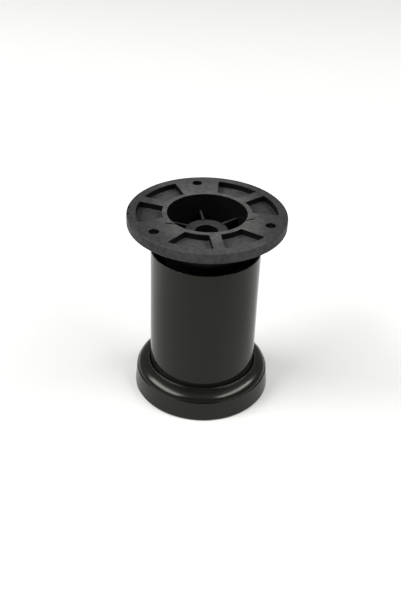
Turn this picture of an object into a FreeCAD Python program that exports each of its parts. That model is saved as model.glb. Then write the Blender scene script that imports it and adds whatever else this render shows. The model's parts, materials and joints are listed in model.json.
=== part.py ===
import FreeCAD, Part
import math
import os
from types import SimpleNamespace

import Sketcher

# Adjustable cabinet leg, in millimetres, +Z up.
# The origin is the middle of the foot's underside, on the surface that the leg stands on.
# A screw hole of the top plate lies towards +Y and a narrow spoke towards -Y.

# Driving sizes: name, value and what it measures
SIZES = (
    ("sleeve_radius", 25.0, "outside of the sleeve"),
    ("sleeve_wall", 0.8, "wall of the sleeve"),
    ("sleeve_length", 67.2, "length of the sleeve"),
    ("sliding_clearance", 0.3, "gap round the sleeve, inside and outside"),
    ("exposed_neck", 12.4, "neck left bare between flange and sleeve"),
    ("flange_overhang", 10.5, "flange beyond the sleeve"),
    ("flange_thickness", 5.2, "thickness of the flange"),
    ("rim_bevel", 0.3, "bevel on the flange's outer edges"),
    ("screw_inset", 6.4, "from the flange's edge to the middle of a screw hole"),
    ("screw_hole_radius", 2.25, "radius of a screw hole"),
    ("web_count", 3, "wide webs, one for each screw hole"),
    ("pocket_depth", 3.0, "depth of the sector pockets"),
    ("rim_width", 4.15, "flange's rim outside the pockets"),
    ("pocket_corner_round", 0.6, "rounding of the upright pocket corners"),
    ("web_inner_half_width", 7.8, "half the width of a wide web at the hub"),
    ("web_outer_half_width", 10.3, "half the width of a wide web at its outer end"),
    ("spoke_half_width", 2.5, "half the width of a narrow spoke"),
    ("neck_step", 5.0, "from the sleeve's outside in to the core's outside"),
    ("core_wall", 2.3, "wall of the core"),
    ("core_depth", 50.4, "from the top face to the core's lower end"),
    ("core_root_bevel", 0.8, "bevel where the core meets the flange"),
    ("boss_radius", 9.6, "outside of the threaded boss"),
    ("boss_drop", 8.8, "from the top face down to the boss"),
    ("boss_mouth_bevel", 0.3, "bevel at the mouth of the boss's bore"),
    ("rib_count", 6, "inner ribs, and guide fins in line with them"),
    ("rib_thickness", 1.5, "thickness of an inner rib"),
    ("rib_rise", 0.4, "how far the ribs stand above the boss"),
    ("fin_thickness", 1.5, "thickness of a guide fin"),
    ("fin_drop", 20.3, "from the flange's underside down to the guide fins"),
    ("foot_base_bevel", 0.9, "bevel on the foot's lower edge"),
    ("skirt_base_reach", 7.5, "skirt beyond the sleeve, just above the floor"),
    ("skirt_top_reach", 6.5, "skirt beyond the sleeve, just below the crease"),
    ("crease_height", 9.7, "from the floor to the crease"),
    ("crease_width", 0.8, "width of the crease"),
    ("crease_depth", 0.8, "depth of the crease"),
    ("shoulder_reach", 6.1, "shoulder beyond the sleeve"),
    ("shoulder_round", 3.0, "outer rounding of the shoulder"),
    ("shoulder_slope", 13.0, "slope of the shoulder up to the sleeve, in degrees"),
    ("seat_height", 8.0, "from the floor to the sleeve's seat"),
    ("seat_width", 2.4, "width of the sleeve's seat"),
    ("foot_wall", 2.2, "wall of the foot's moulding"),
    ("foot_floor_top", 6.0, "top of the foot's floor"),
    ("foot_rib_count", 8, "ribs under the foot"),
    ("foot_rib_thickness", 1.5, "thickness of a rib under the foot"),
    ("foot_rib_setback", 0.6, "how far these ribs stay above the floor"),
    ("foot_hub_wall", 3.2, "wall of the hub beside the corners of the screw's head"),
    ("foot_hub_rise", 4.4, "from the foot's floor up to the top of the hub"),
    ("head_seat_height", 3.0, "from the floor to the screw's head"),
    ("screw_radius", 5.0, "outside of the screw's thread"),
    ("thread_clearance", 0.05, "running clearance of the thread"),
    ("thread_engagement", 27.0, "length of screw inside the boss"),
    ("screw_tip_bevel", 1.0, "bevel at the screw's tip"),
    ("head_across_flats", 16.0, "width of the hexagon head"),
    ("head_height", 6.4, "height of the hexagon head"),
    ("head_bevel_height", 0.8, "height of the bevel on the head's corners"),
    ("head_clearance", 0.05, "gap between the head and its pocket"),
)

# How far joined features reach into each other, so that they fuse
OVERLAP = 0.4
# Lengths below this count as nothing
TINY = 1e-6
FULL_TURN = 360
RIGHT_ANGLE = 90
# Direction of +Y in plan
FIRST_HOLE_DIRECTION = 90
FLAT_COUNT = 6


class Length:
    """A size that carries its value and the formula that binds it to the sheet."""

    def __init__(self, value, formula):
        self.value = value
        self.formula = formula

    def __add__(self, other):
        other = as_length(other)
        return Length(self.value + other.value, f"({self.formula} + {other.formula})")

    def __sub__(self, other):
        other = as_length(other)
        return Length(self.value - other.value, f"({self.formula} - {other.formula})")

    def __mul__(self, other):
        other = as_length(other)
        return Length(self.value * other.value, f"({self.formula} * {other.formula})")

    def __truediv__(self, other):
        other = as_length(other)
        return Length(self.value / other.value, f"({self.formula} / {other.formula})")

    def __neg__(self):
        return Length(-self.value, f"(0 - {self.formula})")


def as_length(number):
    """A plain number as a Length; a Length stays as it is."""
    if isinstance(number, Length):
        return number
    return Length(float(number), repr(float(number)))


def leg(hypotenuse, other_leg):
    """The second leg of a right-angled triangle."""
    square = hypotenuse * hypotenuse - other_leg * other_leg
    return Length(math.sqrt(square.value), f"sqrt({square.formula})")


def turned(along, across, direction):
    """A point along and to the left of a direction in degrees, in plan."""
    direction = as_length(direction)
    angle = math.radians(direction.value)
    cosine = Length(math.cos(angle), f"cos({direction.formula} * 1 deg)")
    sine = Length(math.sin(angle), f"sin({direction.formula} * 1 deg)")
    return along * cosine - across * sine, along * sine + across * cosine


def tangent(slope):
    """Rise over run of a slope in degrees."""
    return Length(math.tan(math.radians(slope.value)), f"tan({slope.formula} * 1 deg)")


def make_sizes(doc):
    """The sheet of driving sizes, and the same sizes as Lengths."""
    sheet = doc.addObject("Spreadsheet::Sheet", "sizes")
    lengths = {}
    for row, (name, value, meaning) in enumerate(SIZES, start=1):
        sheet.set(f"A{row}", name)
        sheet.set(f"B{row}", str(value))
        sheet.set(f"C{row}", meaning)
        sheet.setAlias(f"B{row}", name)
        lengths[name] = Length(float(value), f"sizes.{name}")
    doc.recompute()
    sizes = SimpleNamespace(**lengths)
    add_shared_sizes(sizes)
    return sizes


def add_shared_sizes(sizes):
    """Sizes that several pieces share, worked out from the driving ones."""
    sizes.flange_radius = sizes.sleeve_radius + sizes.flange_overhang
    sizes.pocket_outer_radius = sizes.flange_radius - sizes.rim_width
    sizes.screw_circle_radius = sizes.flange_radius - sizes.screw_inset
    sizes.core_radius = sizes.sleeve_radius - sizes.neck_step
    sizes.core_bore_radius = sizes.core_radius - sizes.core_wall
    sizes.sleeve_bore_radius = sizes.sleeve_radius - sizes.sleeve_wall
    sizes.plate_top = sizes.seat_height + sizes.sleeve_length + sizes.exposed_neck + sizes.flange_thickness
    sizes.boss_bore_radius = sizes.screw_radius + sizes.thread_clearance
    sizes.head_corner_radius = sizes.head_across_flats / Length(math.sqrt(3), "sqrt(3)")


def new_body(doc, name):
    """An empty body whose label names its file."""
    body = doc.addObject("PartDesign::Body", name)
    body.Label = name
    return body


def origin_feature(body, role):
    """One of the body's own origin planes or axes."""
    return next(item for item in body.Origin.OriginFeatures if item.Role == role)


def new_sketch(body, name, role, lift=None):
    """A sketch on one of the body's origin planes, raised by lift."""
    sketch = body.newObject("Sketcher::SketchObject", name)
    sketch.AttachmentSupport = [(origin_feature(body, role), "")]
    sketch.MapMode = "FlatFace"
    if lift is not None:
        sketch.setExpression("AttachmentOffset.Base.z", lift.formula)
    return sketch


def bind(sketch, kind, places, length):
    """A constraint whose value follows the sheet."""
    index = sketch.addConstraint(Sketcher.Constraint(kind, *places, length.value))
    sketch.setExpression(f"Constraints[{index}]", length.formula)


def arc_between(start, end, radius, side):
    """The short arc from start to end, its centre to the left (side 1) or the right (side -1)."""
    chord = end - start
    middle = (start + end) * 0.5
    offset = math.sqrt(max(radius * radius - chord.Length * chord.Length / 4, 0))
    left = FreeCAD.Vector(-chord.y, chord.x, 0).normalize()
    centre = middle + left * (offset * side)
    outward = (middle - centre) * side
    if outward.Length < TINY:
        outward = left * -1
    crest = centre + outward.normalize() * (radius * side)
    return Part.Arc(start, crest, end)


def draw_outline(sketch, corners, arcs=None):
    """A closed outline through the corners. arcs gives the radius and side of edges that are round."""
    arcs = arcs or {}
    points = [FreeCAD.Vector(x.value, y.value, 0) for x, y in corners]
    count = len(points)
    edges = []
    starts = []
    ends = []
    for index, start in enumerate(points):
        end = points[(index + 1) % count]
        if index not in arcs:
            edges.append(sketch.addGeometry(Part.LineSegment(start, end)))
            starts.append(1)
            ends.append(2)
            continue
        radius, side = arcs[index]
        arc = arc_between(start, end, radius.value, side)
        edges.append(sketch.addGeometry(arc))
        runs_back = sketch.getPoint(edges[-1], 1).distanceToPoint(start) > TINY
        starts.append(2 if runs_back else 1)
        ends.append(1 if runs_back else 2)
    for index, (x, y) in enumerate(corners):
        before = index - 1
        sketch.addConstraint(
            Sketcher.Constraint("Coincident", edges[before], ends[before], edges[index], starts[index])
        )
        bind(sketch, "DistanceX", (-1, 1, edges[index], starts[index]), x)
        bind(sketch, "DistanceY", (-1, 1, edges[index], starts[index]), y)
    for index, (radius, _) in arcs.items():
        bind(sketch, "Radius", (edges[index],), radius)


def draw_circle(sketch, x, y, radius):
    """A circle with its middle at x, y."""
    middle = FreeCAD.Vector(x.value, y.value, 0)
    edge = sketch.addGeometry(Part.Circle(middle, FreeCAD.Vector(0, 0, 1), radius.value))
    bind(sketch, "DistanceX", (-1, 1, edge, 3), x)
    bind(sketch, "DistanceY", (-1, 1, edge, 3), y)
    bind(sketch, "Radius", (edge,), radius)


def draw_hexagon(sketch, across_flats):
    """A hexagon round the middle, two of its flats facing the sketch's up and down."""
    corner_radius = across_flats / Length(math.sqrt(3), "sqrt(3)")
    zero = as_length(0)
    corners = [turned(corner_radius, zero, FULL_TURN * step / FLAT_COUNT) for step in range(FLAT_COUNT)]
    draw_outline(sketch, corners)


def revolve(body, sketch, name, kind="PartDesign::Revolution"):
    """A full turn of the sketch about its upright axis, added or cut."""
    feature = body.newObject(kind, name)
    feature.Profile = sketch
    feature.ReferenceAxis = (sketch, ["V_Axis"])
    feature.Angle = FULL_TURN
    return feature


def pad_both_ways(body, sketch, name, thickness):
    """A plate of the given thickness with the sketch in its middle."""
    feature = body.newObject("PartDesign::Pad", name)
    feature.Profile = sketch
    feature.Midplane = True
    feature.setExpression("Length", thickness.formula)
    return feature


def pad(body, sketch, name, height):
    """A pad that rises from the sketch."""
    feature = body.newObject("PartDesign::Pad", name)
    feature.Profile = sketch
    feature.setExpression("Length", height.formula)
    return feature


def pocket(body, sketch, name, depth):
    """A pocket that goes down from the sketch."""
    feature = body.newObject("PartDesign::Pocket", name)
    feature.Profile = sketch
    feature.setExpression("Length", depth.formula)
    return feature


def repeat_round(body, feature, name, count):
    """Copies of a feature all round the body's upright axis."""
    pattern = body.newObject("PartDesign::PolarPattern", name)
    pattern.Originals = [feature]
    pattern.Axis = (origin_feature(body, "Z_Axis"), [""])
    pattern.Angle = FULL_TURN
    pattern.setExpression("Occurrences", count.formula)
    body.Tip = pattern
    return pattern


def upright_edges(shape, inner_radius, outer_radius, lowest):
    """Names of the straight upright edges between two radii that end above a level."""
    names = []
    for number, edge in enumerate(shape.Edges, start=1):
        first, last = edge.Vertexes[0].Point, edge.Vertexes[-1].Point
        shift = math.hypot(first.x - last.x, first.y - last.y)
        upright = shift < TINY and abs(first.z - last.z) > TINY
        radius = math.hypot(first.x, first.y)
        if upright and inner_radius < radius < outer_radius and min(first.z, last.z) > lowest:
            names.append(f"Edge{number}")
    return names


def pocket_corners(sizes, side):
    """Plan corners of the pocket between the web at +Y and the spoke beside it."""
    spoke_turn = as_length(FULL_TURN) / (sizes.web_count * 2)
    spoke_direction = as_length(FIRST_HOLE_DIRECTION) - spoke_turn * side
    across = sizes.spoke_half_width * side
    inner_spoke = turned(leg(sizes.core_radius, sizes.spoke_half_width), across, spoke_direction)
    outer_spoke = turned(leg(sizes.pocket_outer_radius, sizes.spoke_half_width), across, spoke_direction)
    outer_web = (sizes.web_outer_half_width * side, leg(sizes.pocket_outer_radius, sizes.web_outer_half_width))
    inner_web = (sizes.web_inner_half_width * side, leg(sizes.core_radius, sizes.web_inner_half_width))
    return [inner_spoke, outer_spoke, outer_web, inner_web]


def cut_pockets(doc, body, sizes):
    """Six sector pockets in the top face, with rounded corners."""
    sketch = new_sketch(body, "pocket_plan", "XY_Plane")
    for side in (1, -1):
        arcs = {1: (sizes.pocket_outer_radius, side), 3: (sizes.core_radius, -side)}
        draw_outline(sketch, pocket_corners(sizes, side), arcs)
    pair = pocket(body, sketch, "pocket_pair", sizes.pocket_depth)
    pockets = repeat_round(body, pair, "pockets", sizes.web_count)
    doc.recompute()
    names = upright_edges(
        pockets.Shape,
        sizes.core_bore_radius.value,
        sizes.flange_radius.value,
        -sizes.flange_thickness.value,
    )
    corners = body.newObject("PartDesign::Fillet", "pocket_corners")
    corners.Base = (pockets, names)
    corners.setExpression("Radius", sizes.pocket_corner_round.formula)
    body.Tip = corners


def build_top_plate(doc, sizes):
    """One moulding: flange with pockets, open core, inner ribs, threaded boss and guide fins."""
    body = new_body(doc, "top_plate")
    axis = as_length(0)
    top = as_length(0)
    underside = -sizes.flange_thickness
    bottom = -sizes.core_depth
    boss_top = -sizes.boss_drop
    rim = sizes.flange_radius
    bevel = sizes.rim_bevel
    profile = new_sketch(body, "flange_and_core_profile", "XZ_Plane")
    corners = [
        (sizes.core_bore_radius, top),
        (rim - bevel, top),
        (rim, top - bevel),
        (rim, underside + bevel),
        (rim - bevel, underside),
        (sizes.core_radius + sizes.core_root_bevel, underside),
        (sizes.core_radius, underside - sizes.core_root_bevel),
        (sizes.core_radius, bottom),
        (sizes.core_bore_radius, bottom),
    ]
    draw_outline(profile, corners)
    revolve(body, profile, "flange_and_core")

    rib_top = boss_top + sizes.rib_rise
    rib_end = sizes.core_bore_radius + OVERLAP
    rib_profile = new_sketch(body, "rib_profile", "YZ_Plane")
    draw_outline(rib_profile, [(axis, rib_top), (rib_end, rib_top), (rib_end, bottom), (axis, bottom)])
    rib = pad_both_ways(body, rib_profile, "rib", sizes.rib_thickness)
    doc.recompute()
    repeat_round(body, rib, "ribs", sizes.rib_count)

    boss_profile = new_sketch(body, "boss_profile", "XZ_Plane")
    draw_outline(
        boss_profile,
        [(axis, boss_top), (sizes.boss_radius, boss_top), (sizes.boss_radius, bottom), (axis, bottom)],
    )
    revolve(body, boss_profile, "boss")

    bore_radius = sizes.boss_bore_radius
    mouth_radius = bore_radius + sizes.boss_mouth_bevel
    bore_profile = new_sketch(body, "boss_bore_profile", "XZ_Plane")
    draw_outline(
        bore_profile,
        [
            (axis, top),
            (mouth_radius, top),
            (mouth_radius, boss_top),
            (bore_radius, boss_top - sizes.boss_mouth_bevel),
            (bore_radius, bottom),
            (axis, bottom),
        ],
    )
    doc.recompute()
    revolve(body, bore_profile, "boss_bore", "PartDesign::Groove")

    fin_start = sizes.core_radius - OVERLAP
    fin_edge = sizes.sleeve_bore_radius - sizes.sliding_clearance
    fin_width = fin_edge - sizes.core_radius
    fin_top = underside - sizes.fin_drop
    fin_profile = new_sketch(body, "fin_profile", "YZ_Plane")
    draw_outline(
        fin_profile,
        [
            (fin_start, fin_top),
            (sizes.core_radius, fin_top),
            (fin_edge, fin_top - fin_width),
            (fin_edge, bottom + fin_width),
            (sizes.core_radius, bottom),
            (fin_start, bottom),
        ],
    )
    fin = pad_both_ways(body, fin_profile, "fin", sizes.fin_thickness)
    doc.recompute()
    repeat_round(body, fin, "fins", sizes.rib_count)

    cut_pockets(doc, body, sizes)

    hole_plan = new_sketch(body, "screw_hole_plan", "XY_Plane")
    draw_circle(hole_plan, axis, sizes.screw_circle_radius, sizes.screw_hole_radius)
    hole = pocket(body, hole_plan, "screw_hole", sizes.flange_thickness)
    doc.recompute()
    repeat_round(body, hole, "screw_holes", sizes.web_count)

    body.setExpression("Placement.Base.z", sizes.plate_top.formula)
    return body


def build_sleeve(doc, sizes):
    """The thin round tube that stands in the foot."""
    body = new_body(doc, "sleeve")
    low = as_length(0)
    high = sizes.sleeve_length
    outside = sizes.sleeve_radius
    inside = sizes.sleeve_bore_radius
    profile = new_sketch(body, "sleeve_profile", "XZ_Plane")
    draw_outline(profile, [(inside, low), (outside, low), (outside, high), (inside, high)])
    revolve(body, profile, "tube")
    body.setExpression("Placement.Base.z", sizes.seat_height.formula)
    return body


def build_foot(doc, sizes):
    """The flared foot: skirt, crease, rounded shoulder, socket for the sleeve and hub for the screw."""
    body = new_body(doc, "foot")
    axis = as_length(0)
    floor = as_length(0)
    skirt_base = sizes.sleeve_radius + sizes.skirt_base_reach
    skirt_top = sizes.sleeve_radius + sizes.skirt_top_reach
    shoulder = sizes.sleeve_radius + sizes.shoulder_reach
    socket_radius = sizes.sleeve_radius + sizes.sliding_clearance
    seat_inner_radius = socket_radius - sizes.seat_width
    crease_top = sizes.crease_height + sizes.crease_width
    round_end = as_length(RIGHT_ANGLE) - sizes.shoulder_slope
    round_reach, round_rise = turned(sizes.shoulder_round, axis, round_end)
    slope_start = shoulder - sizes.shoulder_round + round_reach
    slope_low = crease_top + round_rise
    lip_height = slope_low + (slope_start - socket_radius) * tangent(sizes.shoulder_slope)
    hollow_inner_radius = socket_radius + sizes.foot_wall
    hollow_outer_radius = shoulder - sizes.foot_wall
    hollow_top = lip_height - sizes.foot_wall * 2
    web_underside = sizes.foot_floor_top - sizes.foot_wall
    hub_radius = sizes.head_corner_radius + sizes.foot_hub_wall
    hub_top = sizes.foot_floor_top + sizes.foot_hub_rise
    profile = new_sketch(body, "foot_profile", "XZ_Plane")
    corners = [
        (skirt_base - sizes.foot_base_bevel, floor),
        (skirt_base, sizes.foot_base_bevel),
        (skirt_top, sizes.crease_height),
        (skirt_top - sizes.crease_depth, sizes.crease_height + sizes.crease_width / 2),
        (shoulder, crease_top),
        (slope_start, slope_low),
        (socket_radius, lip_height),
        (socket_radius, sizes.seat_height),
        (seat_inner_radius, sizes.seat_height),
        (seat_inner_radius, sizes.foot_floor_top),
        (hub_radius, sizes.foot_floor_top),
        (hub_radius, hub_top),
        (axis, hub_top),
        (axis, floor),
        (hub_radius, floor),
        (hub_radius, web_underside),
        (hollow_inner_radius, web_underside),
        (hollow_inner_radius, hollow_top),
        (hollow_outer_radius, hollow_top),
        (hollow_outer_radius, floor),
    ]
    draw_outline(profile, corners, {4: (sizes.shoulder_round, 1)})
    revolve(body, profile, "foot_shell")

    rib_low = sizes.foot_rib_setback
    rib_profile = new_sketch(body, "foot_rib_profile", "XZ_Plane")
    draw_outline(
        rib_profile,
        [
            (hub_radius - OVERLAP, rib_low),
            (hollow_outer_radius + OVERLAP, rib_low),
            (hollow_outer_radius + OVERLAP, hollow_top + OVERLAP),
            (hollow_inner_radius - OVERLAP, hollow_top + OVERLAP),
            (hollow_inner_radius - OVERLAP, web_underside + OVERLAP),
            (hub_radius - OVERLAP, web_underside + OVERLAP),
        ],
    )
    rib = pad_both_ways(body, rib_profile, "foot_rib", sizes.foot_rib_thickness)
    doc.recompute()
    repeat_round(body, rib, "foot_ribs", sizes.foot_rib_count)

    head_plan = new_sketch(body, "head_pocket_plan", "XY_Plane", hub_top)
    draw_hexagon(head_plan, sizes.head_across_flats + sizes.head_clearance * 2)
    doc.recompute()
    pocket(body, head_plan, "head_pocket", hub_top - sizes.head_seat_height)
    return body


def build_adjusting_screw(doc, sizes):
    """The hexagon-head screw, head down in the foot, its thread in the boss."""
    body = new_body(doc, "adjusting_screw")
    low = as_length(0)
    axis = as_length(0)
    head_plan = new_sketch(body, "head_plan", "XY_Plane")
    draw_hexagon(head_plan, sizes.head_across_flats)
    pad(body, head_plan, "head", sizes.head_height)

    flat_radius = sizes.head_across_flats / 2
    corner_radius = sizes.head_corner_radius + OVERLAP
    bevel_profile = new_sketch(body, "head_bevel_profile", "XZ_Plane")
    draw_outline(
        bevel_profile,
        [(flat_radius, low), (corner_radius, low), (corner_radius, low + sizes.head_bevel_height)],
    )
    doc.recompute()
    revolve(body, bevel_profile, "head_bevel", "PartDesign::Groove")

    boss_bottom = sizes.plate_top - sizes.core_depth
    tip = boss_bottom + sizes.thread_engagement - sizes.head_seat_height
    shank_start = sizes.head_height - OVERLAP
    shank_profile = new_sketch(body, "shank_profile", "XZ_Plane")
    draw_outline(
        shank_profile,
        [
            (axis, shank_start),
            (sizes.screw_radius, shank_start),
            (sizes.screw_radius, tip - sizes.screw_tip_bevel),
            (sizes.screw_radius - sizes.screw_tip_bevel, tip),
            (axis, tip),
        ],
    )
    revolve(body, shank_profile, "shank")
    body.setExpression("Placement.Base.z", sizes.head_seat_height.formula)
    return body


def check_document(doc, bodies):
    """Stops if any object failed or any piece isn't one sound solid."""
    for item in doc.Objects:
        if "Invalid" in item.State or "Error" in item.State:
            raise RuntimeError(f"{item.Label} did not compute: {item.State}")
    for body in bodies:
        shape = body.Shape
        if shape.isNull() or not shape.isValid() or len(shape.Solids) != 1:
            raise RuntimeError(f"{body.Label} is not one valid solid")


def main():
    doc = FreeCAD.newDocument("cabinet_leg")
    sizes = make_sizes(doc)
    bodies = [
        build_top_plate(doc, sizes),
        build_sleeve(doc, sizes),
        build_foot(doc, sizes),
        build_adjusting_screw(doc, sizes),
    ]
    doc.recompute()
    check_document(doc, bodies)
    os.makedirs("parts", exist_ok=True)
    for body in bodies:
        body.Shape.exportStep(os.path.join("parts", f"{body.Label}.step"))
        print(body.Label, round(body.Shape.Volume, 1), body.Shape.BoundBox)


main()
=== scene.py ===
import json
import math
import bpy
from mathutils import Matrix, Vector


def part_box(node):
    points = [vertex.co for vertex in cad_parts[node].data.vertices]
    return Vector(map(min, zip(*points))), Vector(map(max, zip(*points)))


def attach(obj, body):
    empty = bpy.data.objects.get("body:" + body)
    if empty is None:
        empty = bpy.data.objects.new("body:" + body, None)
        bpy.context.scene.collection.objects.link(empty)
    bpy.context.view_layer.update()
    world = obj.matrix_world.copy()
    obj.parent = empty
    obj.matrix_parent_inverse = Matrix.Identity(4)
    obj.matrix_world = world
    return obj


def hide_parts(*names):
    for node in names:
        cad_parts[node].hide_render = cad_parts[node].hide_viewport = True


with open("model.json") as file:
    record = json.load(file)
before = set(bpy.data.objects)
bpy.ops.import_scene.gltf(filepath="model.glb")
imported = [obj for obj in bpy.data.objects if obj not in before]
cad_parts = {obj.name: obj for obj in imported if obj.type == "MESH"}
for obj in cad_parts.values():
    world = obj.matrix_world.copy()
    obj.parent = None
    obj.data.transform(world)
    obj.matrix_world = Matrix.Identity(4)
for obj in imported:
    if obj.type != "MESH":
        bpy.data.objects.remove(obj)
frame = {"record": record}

from types import SimpleNamespace

import bmesh
import bpy
from bpy.props import FloatProperty, FloatVectorProperty, IntProperty, PointerProperty
from mathutils import Matrix, Vector

bl_info = {
    "name": "Adjustable cabinet leg",
    "version": (1, 0, 0),
    "blender": (4, 5, 0),
    "location": "3D View > Sidebar > Cabinet leg",
    "description": "Dresses a round cabinet leg: top plate, sleeve, foot and adjusting screw",
    "category": "Object",
}

MM = 0.001
FULL_TURN = 2 * math.pi
QUARTER_TURN = math.pi / 2
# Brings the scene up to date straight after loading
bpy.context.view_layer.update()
# Width and height of the photograph, and of the film that stands for its longer side
PICTURE = (401, 601)
FILM_HEIGHT = 36.0


# Plan curves and profiles, in millimetres


def on_circle(radius, angle):
    """A point of a circle round the middle."""
    return radius * math.cos(angle), radius * math.sin(angle)


def circle(radius, count, middle=(0.0, 0.0)):
    """Points all round a circle, counterclockwise."""
    points = []
    for step in range(count):
        x, y = on_circle(radius, FULL_TURN * step / count)
        points.append((x + middle[0], y + middle[1]))
    return points


def arc_points(radius, start, end, count):
    """Points along an arc round the middle, both ends included."""
    return [on_circle(radius, start + (end - start) * step / count) for step in range(count + 1)]


def round_corners(corners, steps=6):
    """A closed outline whose corners (x, y, rounding) are eased by short arcs."""
    points = []
    count = len(corners)
    for index, (x, y, rounding) in enumerate(corners):
        here = Vector((x, y))
        if not rounding:
            points.append((x, y))
            continue
        back = Vector(corners[index - 1][:2]) - here
        ahead = Vector(corners[(index + 1) % count][:2]) - here
        half = back.angle(ahead) / 2
        reach = rounding / math.tan(half)
        start = here + back.normalized() * reach
        end = here + ahead.normalized() * reach
        middle = here + (back.normalized() + ahead.normalized()).normalized() * (rounding / math.sin(half))
        first = start - middle
        sweep = first.angle_signed(end - middle)
        for step in range(steps + 1):
            spoke = first.copy()
            spoke.rotate(Matrix.Rotation(-sweep * step / steps, 2))
            points.append(tuple(middle + spoke))
    return points


def offset_loop(points, distance):
    """The outline moved out by a distance; it runs counterclockwise."""
    moved = []
    count = len(points)
    for index, point in enumerate(points):
        here = Vector(point)
        before = (here - Vector(points[index - 1])).normalized()
        after = (Vector(points[(index + 1) % count]) - here).normalized()
        along = (before + after).normalized()
        stretch = max(along.dot(after), 0.5)
        outward = Vector((along.y, -along.x))
        moved.append(tuple(here + outward * (distance / stretch)))
    return moved


def off_axis(distance, across, angle):
    """A point at a distance along a direction from the middle, and off to its left."""
    x = distance * math.cos(angle) - across * math.sin(angle)
    y = distance * math.sin(angle) + across * math.cos(angle)
    return x, y


def turn_points(points, angle):
    """The outline turned round the middle."""
    cosine, sine = math.cos(angle), math.sin(angle)
    return [(x * cosine - y * sine, x * sine + y * cosine) for x, y in points]


# Mesh building


def ring(bm, points, height):
    """A loop of vertices at one height."""
    return [bm.verts.new((x * MM, y * MM, height * MM)) for x, y in points]


def skin(bm, rings):
    """Quads between each ring and the next."""
    for lower, upper in zip(rings, rings[1:]):
        count = len(lower)
        for index in range(count):
            after = (index + 1) % count
            bm.faces.new((lower[index], lower[after], upper[after], upper[index]))


def fill_between(bm, rings):
    """A flat face that fills what lies between closed rings."""
    edges = []
    for loop in rings:
        for index, vertex in enumerate(loop):
            edges.append(bm.edges.get((vertex, loop[(index + 1) % len(loop)])))
    bmesh.ops.triangle_fill(bm, edges=edges, use_beauty=True)


def lathe(bm, profile, count):
    """A solid turned round the upright axis from a closed profile of (radius, height)."""
    rings = []
    for radius, height in profile:
        if radius <= 0:
            rings.append([bm.verts.new((0, 0, height * MM))])
        else:
            rings.append(ring(bm, circle(radius, count), height))
    for lower, upper in zip(rings, rings[1:] + rings[:1]):
        for index in range(count):
            after = (index + 1) % count
            if len(lower) == 1 and len(upper) == 1:
                break
            if len(lower) == 1:
                bm.faces.new((lower[0], upper[after], upper[index]))
            elif len(upper) == 1:
                bm.faces.new((lower[index], lower[after], upper[0]))
            else:
                bm.faces.new((lower[index], lower[after], upper[after], upper[index]))


def prism(bm, points, low, high):
    """A straight solid with the outline as its plan."""
    bottom = ring(bm, points, low)
    top = ring(bm, points, high)
    skin(bm, [bottom, top])
    bm.faces.new(reversed(bottom))
    bm.faces.new(top)


def block(bm, first, second):
    """A solid between two like outlines of points in space."""
    ends = []
    for outline in (first, second):
        ends.append([bm.verts.new((x * MM, y * MM, z * MM)) for x, y, z in outline])
    skin(bm, ends)
    bm.faces.new(reversed(ends[0]))
    bm.faces.new(ends[1])


def bar(bm, section, start, end, angle):
    """A bar along a direction; its section is (across, height), its ends are at two distances."""
    ends = []
    for distance in (start, end):
        ends.append([(*off_axis(distance, across, angle), height) for across, height in section])
    block(bm, *ends)


def upright_plate(bm, outline, thickness, angle):
    """A flat plate that stands along a direction; its outline is (distance, height)."""
    sides = []
    for across in (-thickness / 2, thickness / 2):
        sides.append([(*off_axis(distance, across, angle), height) for distance, height in outline])
    block(bm, *sides)


def finish_mesh(bm, name):
    """An object from the mesh, with its faces turned outwards."""
    bmesh.ops.recalc_face_normals(bm, faces=bm.faces)
    mesh = bpy.data.meshes.new(name)
    bm.to_mesh(mesh)
    bm.free()
    piece = bpy.data.objects.new(name, mesh)
    bpy.context.scene.collection.objects.link(piece)
    return piece


def combine(piece, other, operation):
    """Joins or cuts the piece by another, which is used up."""
    modifier = piece.modifiers.new(operation.lower(), "BOOLEAN")
    modifier.object = other
    modifier.operation = operation
    modifier.solver = "EXACT"
    apply_modifiers(piece)
    bpy.data.objects.remove(other)


def apply_modifiers(piece):
    """Bakes the piece's modifiers into its mesh."""
    bpy.context.view_layer.update()
    shown = piece.evaluated_get(bpy.context.evaluated_depsgraph_get())
    mesh = bpy.data.meshes.new_from_object(shown)
    piece.modifiers.clear()
    piece.data = mesh


def smooth(piece, sharp_angle):
    """Smooth shading, except across edges sharper than the angle; flat faces stay flat."""
    mesh = piece.data
    mesh.shade_smooth()
    mesh.set_sharp_from_angle(angle=sharp_angle)
    weighted = piece.modifiers.new("face_weights", "WEIGHTED_NORMAL")
    weighted.keep_sharp = True
    weighted.weight = 100


def in_millimetres(group):
    """A settings group as plain values, its lengths in millimetres."""
    values = {}
    for item in group.bl_rna.properties:
        if item.identifier in ("rna_type", "name"):
            continue
        value = getattr(group, item.identifier)
        is_length = getattr(item, "unit", "NONE") == "LENGTH"
        values[item.identifier] = value / MM if is_length else value
    return SimpleNamespace(**values)


def place(piece, body, node, material):
    """Gives a finished piece its body, the node it stands for and its material."""
    piece.data.materials.clear()
    piece.data.materials.append(material)
    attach(piece, body)
    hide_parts(node)


# Materials

# The faint green cast of light that the dark gunmetal finish gives back
LACQUER_TINT = (0.96, 1.0, 0.88, 1.0)
# What the mould's grain takes away, at its darkest, from the pale colour of the top, which is painted light
MOTTLE_SHADE = (0.58, 0.58, 0.58, 1.0)
# Painted shade: what is left of the pale colour at the left and right of the top and on the sunken boss and
# ribs
PAINTED_SHADE = (0.6, 0.6, 0.6, 1.0)


def linear(colour):
    """An sRGB hex colour as linear red, green, blue and alpha."""
    channels = []
    for start in (1, 3, 5):
        value = int(colour[start:start + 2], 16) / 255
        channels.append(value / 12.92 if value <= 0.04045 else ((value + 0.055) / 1.055) ** 2.4)
    return (*channels, 1.0)


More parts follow.
